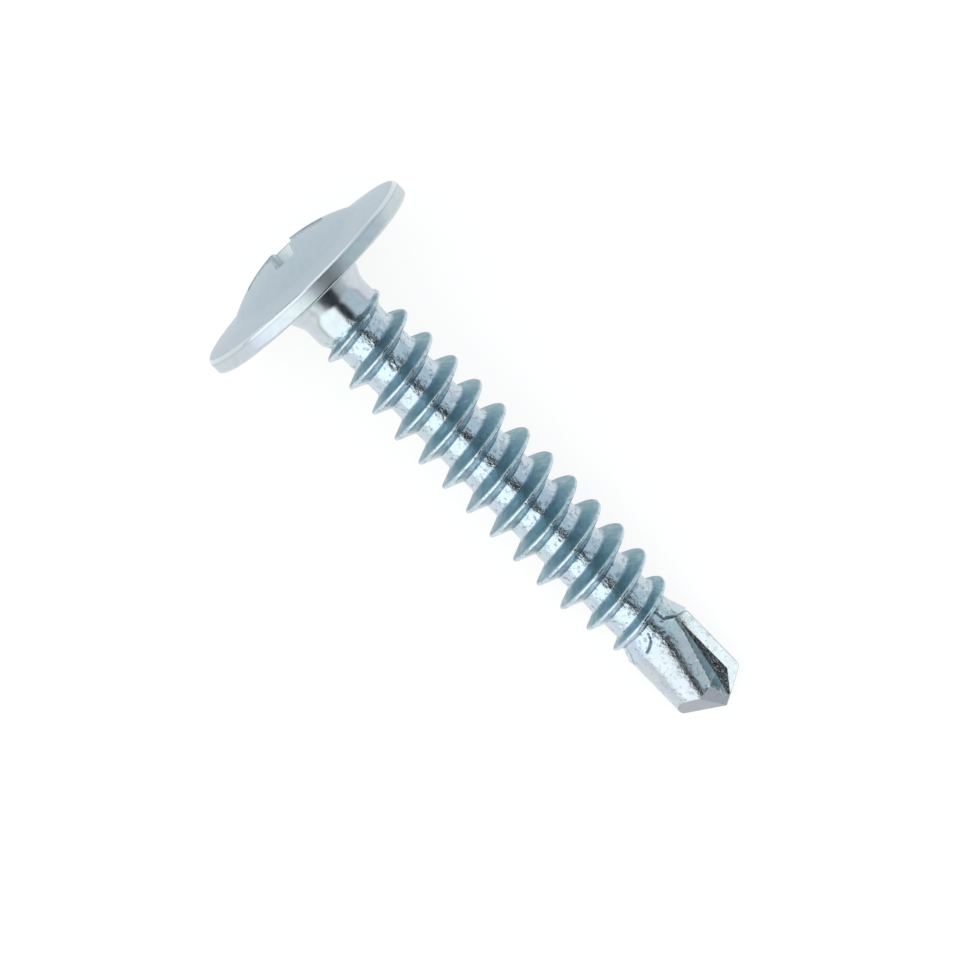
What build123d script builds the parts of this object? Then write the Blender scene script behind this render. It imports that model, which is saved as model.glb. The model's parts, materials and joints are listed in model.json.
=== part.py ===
from build123d import *
from math import atan2, cos, degrees, pi, radians, sin, tan
import os

# Self drilling screw, 4.2 x 25, for sheet metal: a low dome on a thin round flange, a cross
# recess, a bare neck, one coarse right-hand thread and a pinched drill point with two flutes.
# It is cold formed from one piece of wire, so it is one solid.
#
# Sizes are in millimetres. The screw is drawn standing on its point: its axis is Z, the seat
# under the head is z = 0, the head is above it and the shank below. Angles about the axis start
# at +X, the side that faces up once the screw lies down, and grow towards +Y.
# At the end the screw is laid on the floor z = 0, where it rests on its rim and its drill point.

# ---- driving dimensions ----

# overall
length = 24.5  # from the seat to the point
wire_diameter = 3.1  # the neck keeps the wire's own size

# head
head_diameter = 10.5
head_height = 1.98
rim_thickness = 0.74
dome_base_radius = 3.42
dome_base_height = 1.05
seat_edge_radius = 0.17
rim_edge_radius = 0.24
dome_foot_radius = 0.35  # blend where the dome meets the flange

# cone that carries the head on the neck
collar_radius = 2.1
collar_length = 1.15
collar_blend_radius = 0.6

# cross recess
recess_radius = 2.1  # out to the ends of the wings, at the dome's surface
recess_depth = 2.2
wing_width = 1.0
wing_draft = 3.0  # degrees on each side
wing_end_angle = 26.5  # degrees between a wing's end and the axis
core_radius_of_recess = 0.92
recess_floor_angle = 28.0  # degrees, the shallow cone at the bottom
recess_turn = -6.0  # degrees about the axis

# thread
thread_diameter = 4.15
thread_core_diameter = 2.56
thread_pitch = 1.4
thread_angle = 45.0
crest_width = 0.15
crest_crown = 0.006
root_radius = 0.15
thread_start = 1.8  # below the seat, inside the neck
run_in = 3.0  # the crest rises to full size over this length
run_out = 3.8  # and sinks again over this one
thread_on_shoulder = 0.45  # how far the thread climbs the drill's shoulder
crest_phase_depth = 3.41  # a crest stands at 90 degrees this far below the seat
neck_length = 2.05
neck_taper_length = 0.45

# drill point
drill_diameter = 3.15
drill_length = 4.05
shoulder_length = 0.9  # the cone between the thread's core and the drill
lip_angle = 44.0  # where each lobe's cutting corner stands
land_span = 46.0  # degrees of full-size land behind each cutting corner
heel_fall = 0.12  # how fast each lobe's heel falls away towards the point, mm per mm
web_hollow = 0.25  # how deep the web sinks between the lobes at the point
flute_length = 4.0
flute_web_radius = 0.42  # the valley's distance from the axis at the point
rake_offset = 0.11  # the rake wall passes the axis at this distance
rake_angle = 38.0
flute_angle = 71.0  # between the rake wall and the heel wall
heel_facet_turn = -3.0
heel_facet_angle = 46.0  # degrees between a facet and the axis
relief_facet_turn = -60.0
relief_facet_angle = 47.1
lip_facet_turn = 90.0
lip_facet_angle = 58.2

# ---- sizes that follow ----

head_radius = head_diameter / 2
neck_radius = wire_diameter / 2
thread_radius = thread_diameter / 2
core_radius = thread_core_diameter / 2
drill_radius = drill_diameter / 2
shoulder_end = length - drill_length
shoulder_start = shoulder_end - shoulder_length
thread_end = shoulder_start + thread_on_shoulder
thread_full_from = thread_start + run_in
thread_full_to = thread_end - run_out
flute_start = length - flute_length
dome_rise = head_height - dome_base_height
dome_radius = (dome_base_radius**2 + dome_rise**2) / (2 * dome_rise)
quarter = 90.0  # degrees of turn from a land's end to its heel's end
past_the_point = 1.0  # how far cutters and blanks run on
bury = 0.1  # how deep one form is sunk in the next, so that they join
ridge_sink = 0.025  # how deep the ridge's root lies under the core's surface
settling_steps = 8  # the resting tilt is exact to a millionth of a degree by then


def dome_height_at(radius):
    """Height of the dome's surface above the seat, on its circle through the top."""
    return head_height - dome_radius + (dome_radius**2 - radius**2) ** 0.5


def turned_blank():
    """Head, neck, thread core and drill blank as one revolved outline."""
    dome_middle = dome_base_radius / 2
    with BuildPart() as blank:
        with BuildSketch(Plane.XZ) as outline:
            with BuildLine():
                dome = ThreePointArc(
                    (0, head_height),
                    (dome_middle, dome_height_at(dome_middle)),
                    (dome_base_radius, dome_base_height),
                )
                Polyline(
                    dome @ 1,
                    (head_radius, rim_thickness),
                    (head_radius, 0),
                    (collar_radius, 0),
                    (neck_radius, -collar_length),
                    (neck_radius, -neck_length),
                    (core_radius, -neck_length - neck_taper_length),
                    (core_radius, -shoulder_start),
                    (drill_radius, -shoulder_end),
                    (0, -shoulder_end),
                    (0, head_height),
                )
            make_face()
            fillet(corner_at(outline, head_radius, rim_thickness), rim_edge_radius)
            fillet(corner_at(outline, head_radius, 0), seat_edge_radius)
            fillet(corner_at(outline, dome_base_radius, dome_base_height), dome_foot_radius)
            fillet(corner_at(outline, neck_radius, -collar_length), collar_blend_radius)
        revolve(axis=Axis.Z)
    return blank.part


def corner_at(outline, radius, height):
    """The outline's corner nearest to a radius and a height."""
    spot = Vector(radius, height)
    return min(outline.vertices(), key=lambda corner: (Vector(*corner) - spot).length)


def thread_ridge():
    """The thread: a ridge that rises from the neck, one at full size and one that sinks into the shoulder."""
    buried_in_neck = neck_radius - bury
    buried_in_shoulder = shoulder_radius_at(thread_end) - bury
    return [
        ridge_between(thread_full_from, thread_start, thread_radius, buried_in_neck),
        ridge_between(thread_full_to, thread_full_from, thread_radius, thread_radius),
        ridge_between(thread_full_to, thread_end, thread_radius, buried_in_shoulder),
    ]


def ridge_between(depth, end_depth, radius, end_radius):
    """A piece of the ridge, carried along a helix whose radius changes evenly."""
    rise = abs(depth - end_depth)
    cone_angle = atan2(end_radius - radius, rise)
    climbing = Helix(thread_pitch / cos(cone_angle), rise, radius, cone_angle=degrees(cone_angle))
    if end_depth > depth:
        climbing = Rot(180, 0, 0) * climbing
    path = Pos(0, 0, -depth) * Rot(0, 0, crest_turn_at(depth)) * climbing
    outward = polar(1, crest_turn_at(depth))
    crest = outward * radius - Vector(0, 0, depth)
    section_plane = Plane(origin=crest, x_dir=outward, z_dir=outward.cross(Vector(0, 0, 1)))
    return sweep(thread_section(section_plane), path=path, is_frenet=True)


def crest_turn_at(depth):
    """Where the crest stands about the axis, in degrees: a right-hand thread."""
    return 90 + 360 * (crest_phase_depth - depth) / thread_pitch


def shoulder_radius_at(depth):
    """Radius of the cone between the thread's core and the drill."""
    way_down = (depth - shoulder_start) / shoulder_length
    return core_radius + (drill_radius - core_radius) * way_down


def thread_section(section_plane):
    """Rounded crest, straight flanks and a root blend; x points out from the crest line."""
    half_angle = radians(thread_angle / 2)
    crest_half = crest_width / 2
    root = -(thread_radius - core_radius) - ridge_sink
    foot_half = crest_half - root * tan(half_angle)
    blend_reach = root_radius * tan(pi / 4 - half_angle / 2)
    flank_end = (root + blend_reach * cos(half_angle), foot_half - blend_reach * sin(half_angle))
    blend_end = (root, foot_half + blend_reach)
    base = root - bury
    with BuildSketch(section_plane) as section:
        with BuildLine():
            ThreePointArc((-crest_crown, -crest_half), (0, 0), (-crest_crown, crest_half))
            Line((-crest_crown, crest_half), flank_end)
            RadiusArc(flank_end, blend_end, root_radius)
            Polyline(blend_end, (base, blend_end[1]), (base, -blend_end[1]), (root, -blend_end[1]))
            RadiusArc((root, -blend_end[1]), (flank_end[0], -flank_end[1]), root_radius)
            Line((flank_end[0], -flank_end[1]), (-crest_crown, -crest_half))
        make_face()
    return section.sketch


def cross_recess():
    """Four tapered wings and a round core, trimmed by a cone at the wing ends and the floor."""
    top = head_height + past_the_point
    floor = head_height - recess_depth
    ends_height = dome_height_at(recess_radius)
    end_slope = tan(radians(wing_end_angle))
    floor_radius = recess_radius - (ends_height - floor) * end_slope
    top_radius = recess_radius + (top - ends_height) * end_slope
    tip = floor - floor_radius * tan(radians(recess_floor_angle))
    envelope = revolve(
        make_face(
            Plane.XZ
            * Polyline((0, top), (top_radius, top), (floor_radius, floor), (0, tip), close=True)
        ),
        axis=Axis.Z,
    )
    long_enough = 2 * top_radius
    wing = Rectangle(long_enough, wing_width + 2 * past_the_point * tan(radians(wing_draft)))
    core_taper = tan(radians(wing_draft))
    wings = tapered_down(wing, top, top - tip, wing_draft)
    wings += Rot(0, 0, 90) * tapered_down(wing, top, top - tip, wing_draft)
    core = Pos(0, 0, tip) * Cone(
        core_radius_of_recess - (head_height - tip) * core_taper,
        core_radius_of_recess + (top - head_height) * core_taper,
        top - tip,
        align=(Align.CENTER, Align.CENTER, Align.MIN),
    )
    return Rot(0, 0, recess_turn) * ((wings + core) & envelope)


def tapered_down(sketch, top, depth, draft):
    """A sketch carried straight down from a height, narrowing on every side."""
    return extrude(Plane.XY.offset(top) * sketch, amount=-depth, taper=draft)


def drill_section(depth):
    """The drill's cross-section: two lobes of full size at the lip, falling away at the heel."""
    fall = heel_fall * max(depth - shoulder_end, 0)
    heel_radius = drill_radius - fall
    web_span = quarter - land_span
    round_bow = drill_radius * (1 - cos(radians(web_span) / 2))
    bow = round_bow - (round_bow + web_hollow) * (depth - shoulder_end) / drill_length
    with BuildSketch(Plane.XY.offset(-depth)) as section:
        with BuildLine():
            for turn in (0, 180):
                land_start = polar(drill_radius, lip_angle + turn)
                land_middle = polar(drill_radius, lip_angle + land_span / 2 + turn)
                land_end_angle = lip_angle + land_span + turn
                land_end = polar(drill_radius, land_end_angle)
                heel_middle = polar(fall, land_end_angle) + polar(heel_radius, land_end_angle + quarter / 2)
                heel_end = polar(fall, land_end_angle) + polar(heel_radius, land_end_angle + quarter)
                next_land = polar(drill_radius, lip_angle + turn + 180)
                chord_middle = (heel_end + next_land) / 2
                web_middle = chord_middle + polar(bow, land_end_angle + quarter + web_span / 2)
                ThreePointArc(land_start, land_middle, land_end)
                ThreePointArc(land_end, heel_middle, heel_end)
                ThreePointArc(heel_end, web_middle, next_land)
        make_face()
    return section.sketch


def polar(radius, angle):
    """A point in the plane, by its distance from the axis and its angle in degrees."""
    return Vector(radius * cos(radians(angle)), radius * sin(radians(angle)))


def pinched_drill():
    """The blank of the drill point, whose heels fall away towards the point."""
    blank_end = length + past_the_point
    blank = loft([drill_section(shoulder_end), drill_section(blank_end)], ruled=True)
    return blank - point_facets()


def point_facets():
    """Six planes through the point: a lip, a relief and a heel facet on each lobe."""
    facets = (
        (lip_facet_turn, lip_facet_angle),
        (relief_facet_turn, relief_facet_angle),
        (heel_facet_turn, heel_facet_angle),
    )
    size = 4 * drill_diameter
    cutters = []
    for turn, angle in facets:
        for half_turn in (0, 180):
            facing = polar(cos(radians(angle)), turn + half_turn)
            outward = Vector(facing.X, facing.Y, -sin(radians(angle)))
            facet = Plane(origin=(0, 0, -length), z_dir=outward)
            cutters.append(
                facet * Box(size, size, size, align=(Align.CENTER, Align.CENTER, Align.MIN))
            )
    return cutters


def flute(turn):
    """A vee cut: its rake wall runs along the axis and its valley sinks towards the point."""
    along_rake = polar(1, rake_angle)
    across_rake = polar(1, rake_angle + 90)
    valley_start = along_rake * drill_radius + across_rake * rake_offset
    valley_end = along_rake * flute_web_radius + across_rake * rake_offset
    start = Vector(valley_start.X, valley_start.Y, -flute_start)
    run = Vector(valley_end.X, valley_end.Y, -length) - start
    wall_reach = 3 * drill_diameter
    rake_edge = along_rake * wall_reach
    heel_edge = polar(wall_reach, rake_angle - flute_angle)
    vee = Plane(origin=start) * make_face(Polyline((0, 0), rake_edge, heel_edge, close=True))
    beyond = run.length + 2 * past_the_point
    return Rot(0, 0, turn) * extrude(vee, amount=beyond, dir=run.normalized())


def laid_down(standing, tilt):
    """Turn the axis to X, head end raised by the tilt in degrees; the upper side faces +Z."""
    raised = radians(tilt)
    lying = Plane(
        origin=(0, 0, 0),
        x_dir=(sin(raised), 0, cos(raised)),
        z_dir=(-cos(raised), 0, sin(raised)),
    )
    return lying * standing


def resting_tilt(head, drill):
    """Tilt at which the head's rim and the drill point are equally low, found step by step."""
    tilt = 0
    for _ in range(settling_steps):
        head_low = laid_down(head, tilt).bounding_box().min.Z
        drill_low = laid_down(drill, tilt).bounding_box().min.Z
        tilt += degrees(atan2(drill_low - head_low, length))
    return tilt


def put_on_floor(lying):
    """Move the screw so that the middle of its underside is the origin."""
    box = lying.bounding_box()
    return Pos(-box.center().X, -box.center().Y, -box.min.Z) * lying


blank = turned_blank()
drill = pinched_drill()
flutes = [flute(0), flute(180)]
screw = blank + drill + thread_ridge() - flutes - cross_recess()
tilt = resting_tilt(blank, drill - flutes)

os.makedirs("parts", exist_ok=True)
export_step(put_on_floor(laid_down(screw, tilt)), "parts/self_drilling_screw.step")
print("resting tilt", round(tilt, 3), "degrees")
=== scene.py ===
# %% [markdown]
# # A self drilling screw on a pale table
# One piece of steel wire: a domed head struck on a thin round flange, a cross recess, a
# bare neck, a rolled thread and a drill point pinched between two dies, all under a
# bright zinc plate with a pale blue tint. The CAD part is the frame. It says where the
# seat under the head is and which way the screw points, so nothing is fitted by eye.

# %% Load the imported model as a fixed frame
import json

import bmesh
import bpy
import numpy as np
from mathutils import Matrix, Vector


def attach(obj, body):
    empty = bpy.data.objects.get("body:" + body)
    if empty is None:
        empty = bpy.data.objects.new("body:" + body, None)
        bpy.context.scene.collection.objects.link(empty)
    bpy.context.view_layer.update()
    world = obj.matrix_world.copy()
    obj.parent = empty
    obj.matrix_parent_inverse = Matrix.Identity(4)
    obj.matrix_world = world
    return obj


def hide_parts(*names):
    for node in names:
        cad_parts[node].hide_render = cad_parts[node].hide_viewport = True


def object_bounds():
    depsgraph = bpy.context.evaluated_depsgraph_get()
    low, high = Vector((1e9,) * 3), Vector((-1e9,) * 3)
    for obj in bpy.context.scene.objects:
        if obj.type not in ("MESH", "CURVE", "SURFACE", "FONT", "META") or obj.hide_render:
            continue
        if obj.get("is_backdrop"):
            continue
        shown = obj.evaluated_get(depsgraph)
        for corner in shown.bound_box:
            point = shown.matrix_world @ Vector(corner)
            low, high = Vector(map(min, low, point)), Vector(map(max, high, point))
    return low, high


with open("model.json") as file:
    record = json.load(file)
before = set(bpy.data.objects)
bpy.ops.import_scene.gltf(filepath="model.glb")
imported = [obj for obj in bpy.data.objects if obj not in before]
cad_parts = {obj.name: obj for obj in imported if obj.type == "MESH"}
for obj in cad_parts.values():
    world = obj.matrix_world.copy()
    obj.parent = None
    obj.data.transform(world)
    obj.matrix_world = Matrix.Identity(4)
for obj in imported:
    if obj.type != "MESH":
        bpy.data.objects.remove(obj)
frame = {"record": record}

cad_low, cad_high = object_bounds()
print("CAD box in mm", [round(1000 * side, 2) for side in cad_high - cad_low])

# %% [markdown]
# Lengths are written in millimetres, as on a maker's drawing, and turned into metres
# once, where a mesh is made. The record's mount under the head gives the screw's own
# axes: depth runs from the seat to the point, "upward" is the side that faces the
# ceiling while the screw lies on its rim and its point, and "sideways" lies flat.

# %% The screw's own axes
MM = 0.001
seat_mount = next(m for m in frame["record"]["mounts"] if m["name"] == "underhead_seat")
seat = np.array(seat_mount["pos_m"]) / MM
to_point = np.array(seat_mount["axis"])
to_point /= np.linalg.norm(to_point)
sideways = np.array((0.0, 1.0, 0.0))
upward = np.cross(to_point, sideways)
axis_drop = float(np.degrees(np.arcsin(-to_point[2])))
print("the axis drops by", round(axis_drop, 2), "degrees")


def place(depth, radius, azimuth):
    """A point in millimetres: down the axis by the depth, then out by the radius, at the
    azimuth in radians from the upper side towards the sideways axis."""
    out = np.cos(azimuth)[..., None] * upward + np.sin(azimuth)[..., None] * sideways
    return seat + depth[..., None] * to_point + radius[..., None] * out


# %% [markdown]
# ## The head
# The head is a solid of revolution, so it is one outline carried round the axis. The
# outline has few corners and each gets the radius that the header die leaves. A row of
# points with rounded corners is easier to read and to change than a stack of rings.

# %% Sizes of the head
head_radius = 5.25
head_height = 1.98
rim_thickness = 0.74
dome_base_radius = 3.42
dome_base_height = 1.05
collar_radius = 2.1
dome_rise = head_height - dome_base_height
dome_radius = (dome_base_radius**2 + dome_rise**2) / (2 * dome_rise)
foot_fillet = 0.35
rim_top_fillet = 0.24
rim_foot_fillet = 0.17
print("the dome is part of a sphere of", round(dome_radius, 2), "mm radius")


def rounded_corner(before, corner, after, radius, steps):
    """Points on the arc that rounds a corner: its centre lies on the corner's bisector, at
    the radius divided by the sine of half the angle between the two sides."""
    to_before = (before - corner) / np.linalg.norm(before - corner)
    to_after = (after - corner) / np.linalg.norm(after - corner)
    half = np.arccos(np.dot(to_before, to_after)) / 2
    bisector = (to_before + to_after) / np.linalg.norm(to_before + to_after)
    centre = corner + bisector * radius / np.sin(half)
    start = corner + to_before * radius / np.tan(half) - centre
    end = corner + to_after * radius / np.tan(half) - centre
    share = np.linspace(0, 1, steps)[:, None]
    turn = np.pi - 2 * half
    arc = np.sin((1 - share) * turn) * start + np.sin(share * turn) * end
    return centre + arc / np.sin(turn)


def straight(start, end, steps):
    """Points spaced evenly on a line, without its two ends."""
    share = np.linspace(0, 1, steps + 2)[1:-1, None]
    return start + share * (end - start)


# %% The head's outline, as pairs of radius and height above the seat
dome_reach = 3.12
dome_angle = np.linspace(0, np.arcsin(dome_reach / dome_radius), 26)
dome = np.stack(
    (dome_radius * np.sin(dome_angle), head_height - dome_radius * (1 - np.cos(dome_angle))), 1
)
dome_foot = np.array((dome_base_radius, dome_base_height))
rim_top = np.array((head_radius, rim_thickness))
rim_foot = np.array((head_radius, 0.0))
collar_top = np.array((collar_radius, 0.0))
foot_arc = rounded_corner(dome[-1], dome_foot, rim_top, foot_fillet, 7)
rim_top_arc = rounded_corner(dome_foot, rim_top, rim_foot, rim_top_fillet, 9)
rim_foot_arc = rounded_corner(rim_top, rim_foot, collar_top, rim_foot_fillet, 7)
head_outline = np.concatenate(
    (
        dome,
        foot_arc,
        straight(foot_arc[-1], rim_top_arc[0], 12),
        rim_top_arc,
        straight(rim_top_arc[-1], rim_foot_arc[0], 3),
        rim_foot_arc,
        straight(rim_foot_arc[-1], collar_top, 14),
        collar_top[None, :],
    )
)
print("head outline:", len(head_outline), "points")

# %% [markdown]
# ## The shank
# The shank is one radius for every depth and azimuth. Its turned form comes first:
# collar, neck, thread core, the shoulder and the drill. A plain broken line would leave
# hard creases, so the line is averaged over a short window, which rounds each corner.

# %% The shank's turned form
length = 24.5
pitch = 1.4
drill_radius = 1.575
neck_radius = 1.55
shoulder_end = 20.45
turned_depth = (0.0, 1.15, 2.05, 2.5, 11.0, 19.55, shoulder_end, 26.0)
core_radii = (1.29, 1.28, 1.26)
turned_radius = (collar_radius, neck_radius, neck_radius, *core_radii, drill_radius, drill_radius)
turned_window = 0.3


def soft_line(depth, depths, radii, window):
    """The broken line through the given points, averaged over a window of depth: the mean
    of nine samples spread evenly from half a window before to half a window after."""
    shifts = np.linspace(-window / 2, window / 2, 9)
    samples = [np.interp(depth + shift, depths, radii) for shift in shifts]
    return np.mean(samples, axis=0)


print("shank", length, "mm long, neck radius", neck_radius, "and drill radius", drill_radius)


# %% [markdown]
# ## The thread
# The thread is rolled: the ridge is pushed up out of the core, so its top is rounded and
# its foot runs into the core with a small fillet. At each depth and azimuth the profile
# only needs the distance along the axis to the nearest crest. A soft minimum rounds the
# crest and a soft maximum makes the fillet. A table of radii lets the ridge rise out of
# the neck and sink into the drill's shoulder.

# %% The thread's profile
crest_at_side = 3.41  # a crest passes the sideways axis at this depth
half_flank_angle = np.radians(22.5)
crest_half_width = 0.075
ridge_depth = (1.3, 1.75, 2.05, 2.75, 3.45, 5.5, 6.6, 16.6, 17.4, 18.1, 18.9, 19.6, 20.15, 20.5)
ridge_radius = (1.2, 1.55, 1.72, 1.79, 1.92, 2.0, 2.08, 2.1, 2.02, 1.92, 1.77, 1.73, 1.5, 1.2)
ridge_window = 0.5
crest_blend = 0.16
root_blend = 0.14


def soft_max(one, other, blend):
    """The larger of two values, with a fillet about as wide as the blend where they meet:
    the larger one plus a quarter of the blend times the square of how close they are."""
    near = np.clip(blend - np.abs(one - other), 0, None) / blend
    return np.maximum(one, other) + near**2 * blend / 4


def soft_min(one, other, blend):
    """The smaller of two values, rounded in the same way."""
    return -soft_max(-one, -other, blend)


def past_crest(depth, azimuth):
    """Distance along the axis to the nearest crest, which climbs one pitch a turn."""
    turns = (depth - crest_at_side) / pitch + (azimuth - np.pi / 2) / (2 * np.pi)
    return (turns - np.round(turns)) * pitch


def thread_radius(depth, azimuth):
    """Radius of the ridge alone: a crest, and flanks that fall away on both sides."""
    crest = soft_line(depth, ridge_depth, ridge_radius, ridge_window)
    fall = (np.abs(past_crest(depth, azimuth)) - crest_half_width) / np.tan(half_flank_angle)
    return soft_min(crest, crest - fall, crest_blend)


print("the thread:", pitch, "mm pitch and up to", 2 * max(ridge_radius), "mm across its crests")


# %% [markdown]
# ## The drill point
# Two dies pinch the wire's end. Each lobe keeps its full size on a land, then its heel
# falls away towards the point: the section there is a smaller circle that touches the
# land's end from inside. In polar form that is one short line, and the fall of the heel
# makes it a function of depth as well. The step that is left in front of the next land
# is where the flute will be cut.

# %% The drill's section
lip_angle = np.radians(44)
land_span = np.radians(46)
heel_fall = 0.18  # the heel's fall for each millimetre of depth
fall_past_point = 0.1


def drill_section(depth, azimuth):
    """Radius of the drill's blank. Land: the full radius. Heel: the distance from the axis
    to a circle whose centre is off the axis by the fall, towards the land's end."""
    fall_span = length - shoulder_end + fall_past_point
    fall = heel_fall * np.clip(depth - shoulder_end, 0, fall_span)
    heel = drill_radius - fall
    behind = np.mod(azimuth - lip_angle, np.pi) - land_span
    heel_line = fall * np.cos(behind) + np.sqrt(heel**2 - (fall * np.sin(behind)) ** 2)
    return np.where(behind < 0, drill_radius, heel_line)


last_of_heel = np.array([lip_angle + 0.99 * np.pi])
heel_at_point = drill_section(np.array([length]), last_of_heel)[0]
print("at the point the blank's heel ends", round(float(heel_at_point), 2), "mm off the axis")


# %% [markdown]
# The dies leave marks where the drill begins: a tongue of metal squeezed up over the
# shoulder, with a sharp groove round it, and a hooked crease on the other lobe. Both are
# patches in depth and azimuth, and both come twice, half a turn apart, because the two
# dies are alike. The groove's mask also goes to the material, which paints shade there.

# %% Marks of the dies
tongue_from = np.radians(29)
tongue_to = np.radians(102)
tongue_start = (np.radians((29, 46, 102)), (19.33, 19.22, 19.22))
tongue_end = (np.radians((29, 52, 71, 102)), (19.76, 20.14, 20.34, 20.4))
tongue_height = 0.07
tongue_slope_from = 0.03
tongue_slope_width = 0.08
groove_depth = 0.07
groove_width = 0.055
groove_outside = 0.02
hook_azimuth = np.radians((-34, -24, -15, -10))
hook_depth = np.array((20.27, 20.17, 20.02, 19.7))
hook_width = 0.05
hook_groove_depth = 0.09


def half_turn_apart(azimuth):
    """The azimuth folded onto half a turn, so that each mark comes on both lobes."""
    return np.mod(azimuth + np.pi / 2, np.pi) - np.pi / 2


def tongue_edge(depth, azimuth):
    """Distance in millimetres inside the tongue's outline, negative outside: the least of
    the distances to its four sides, where both end sides follow a broken line."""
    around = np.mod(azimuth, np.pi)
    from_start = depth - np.interp(around, *tongue_start)
    from_end = np.interp(around, *tongue_end) - depth
    from_low = (around - tongue_from) * drill_radius
    from_high = (tongue_to - around) * drill_radius
    return np.minimum(np.minimum(from_start, from_end), np.minimum(from_low, from_high))


def soft_step(value, edge, width):
    """Nought before the edge and one after it, with a smooth ramp of the given width: three
    times the square of the share minus twice its cube."""
    rise = np.clip((value - edge) / width + 0.5, 0, 1)
    return rise * rise * (3 - 2 * rise)


def hook(depth, azimuth):
    """A groove along a short broken line, with a bell-shaped section."""
    around = half_turn_apart(azimuth)
    middle = np.interp(around, hook_azimuth, hook_depth)
    inside = (around > hook_azimuth[0]) & (around < hook_azimuth[-1])
    return np.where(inside, np.exp(-(((depth - middle) / hook_width) ** 2)), 0)


def die_marks(depth, azimuth):
    """Height that the marks add, and the mask of their grooves: a bell-shaped groove
    just outside the tongue's outline, and the hook."""
    inside = tongue_edge(depth, azimuth)
    groove = np.exp(-(((inside + groove_outside) / groove_width) ** 2))
    bent = hook(depth, azimuth)
    raised = tongue_height * soft_step(inside, tongue_slope_from, tongue_slope_width)
    height = raised - groove_depth * groove - hook_groove_depth * bent
    return height, np.maximum(groove, bent)


# %% [markdown]
# Plating never lies on perfect steel. Rolling dies, barrels and other screws leave small
# dents all along the thread. Each dent is a bell-shaped hollow, and their places come
# from a seeded generator, so every run gives the same screw.

# %% Dents
dice = np.random.default_rng(12)
dent_count = 560
dent_depth = dice.uniform(2.2, 20.3, dent_count)
dent_azimuth = dice.uniform(0, 2 * np.pi, dent_count)
dent_size = dice.uniform(0.06, 0.17, dent_count)
dent_fall = dice.uniform(0.005, 0.027, dent_count)
dent_level = 1.4  # radius at which a turn in radians is made a width in millimetres
dent_reach = 3.0  # in dent sizes
print(dent_count, "dents, the deepest of", round(float(dent_fall.max()), 3), "mm")


def dents(depth, azimuth):
    """Sum of the bell-shaped hollows, as far as each reaches, in millimetres. A hollow is its
    depth times the exponential of minus the squared distance in dent sizes."""
    total = np.zeros_like(depth)
    for middle, around, size, fall in zip(dent_depth, dent_azimuth, dent_size, dent_fall):
        near = np.abs(depth - middle) < dent_reach * size
        turn = np.mod(azimuth[near] - around + np.pi, 2 * np.pi) - np.pi
        spread = ((depth[near] - middle) / size) ** 2 + (dent_level * turn / size) ** 2
        total[near] += fall * np.exp(-spread)
    return total


# %% [markdown]
# One function joins the shank's parts, so that a point of the grid only asks for its
# radius. The drill's section takes over from the turned form over half a millimetre, as
# a sudden change would leave a crease. The function also says how much a point is in a
# groove or on a flank that faces the head. Later the plate uses that to paint shade into
# the grooves and a dark reflection onto those flanks.

# %% The whole shank
drill_joined_at = shoulder_end - 0.05
drill_joined_over = 0.5
ridge_seen_from = 0.06
ridge_seen_over = 0.16
flank_from_crest = 0.06


def shank_surface(depth, azimuth):
    """Radius of the whole shank, and the masks of its grooves and of the ridge's flank on
    the head's side: turned form or drill, the ridge joined to it, marks and dents."""
    turned = soft_line(depth, turned_depth, turned_radius, turned_window)
    drill = drill_section(depth, azimuth)
    body = turned + (drill - turned) * soft_step(depth, drill_joined_at, drill_joined_over)
    marks, groove = die_marks(depth, azimuth)
    ridge = thread_radius(depth, azimuth)
    radius = soft_max(body + marks, ridge, root_blend) - dents(depth, azimuth)
    on_ridge = soft_step(ridge - body, ridge_seen_from, ridge_seen_over)
    headward = soft_step(-past_crest(depth, azimuth), flank_from_crest, flank_from_crest)
    return radius, groove * (1 - on_ridge), on_ridge * headward


# %% [markdown]
# ## One closed grid
# A ring grid would cut the ridge at a slant and leave saw teeth on the crest, so the rows
# follow the helix: each row climbs one pitch in a turn and meets the row one pitch up.
# At both ends of the thread a fan of rows shrinks to nothing on one side of the seam, so
# that the helix of rows turns back into rings. Every row is then a straight line from a
# depth at azimuth nought to a depth at a full turn, and the whole shank is one function
# of two parameters.

# %% Rows of the grid
columns = 160
seam = -np.pi
half_steps = np.array(
    (0.035, 0.07, 0.1, 0.14, 0.19, 0.25, 0.31, 0.36, 0.4, 0.44, 0.49, 0.55, 0.62)
)
row_steps = np.sort(np.concatenate(((-pitch / 2, 0.0), half_steps, -half_steps)))
crest_at_seam = crest_at_side + 0.75 * pitch  # the seam is three quarters of a turn back
turns_of_rows = 12
ridge_crests = crest_at_seam + pitch * np.arange(turns_of_rows)
helix_rows = (ridge_crests[:, None] + row_steps).ravel()
first_row = helix_rows[0]
last_row = ridge_crests[-1] + pitch + row_steps[0]
fan = row_steps - row_steps[0]
helix_start, helix_end = first_row - pitch, last_row - pitch
marks_end = 21.2  # the rings are closer together up to here, where the dies' marks are
past_point = 0.9
ring_start = np.linspace(0, helix_start, 24)[1:-1]
ring_end = np.concatenate(
    (np.linspace(last_row, marks_end, 14), np.linspace(marks_end, length + past_point, 36)[1:])
)
fan_foot, fan_top = np.full(len(fan), helix_start), np.full(len(fan), last_row)
start_depth = np.concatenate((ring_start, helix_start + fan, helix_rows, fan_top, ring_end))
end_depth = np.concatenate(
    (ring_start, fan_foot, helix_rows - pitch, helix_end + fan, ring_end)
)
print(len(start_depth), "rows, helical from", round(first_row, 2), "to", round(last_row, 2), "mm")

# %% [markdown]
# Every row now gets its points. A header never leaves a flange quite true, so its rim
# waves by a hundredth of a millimetre. The wave grows with the square of the radius,
# which keeps the dome round.

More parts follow.
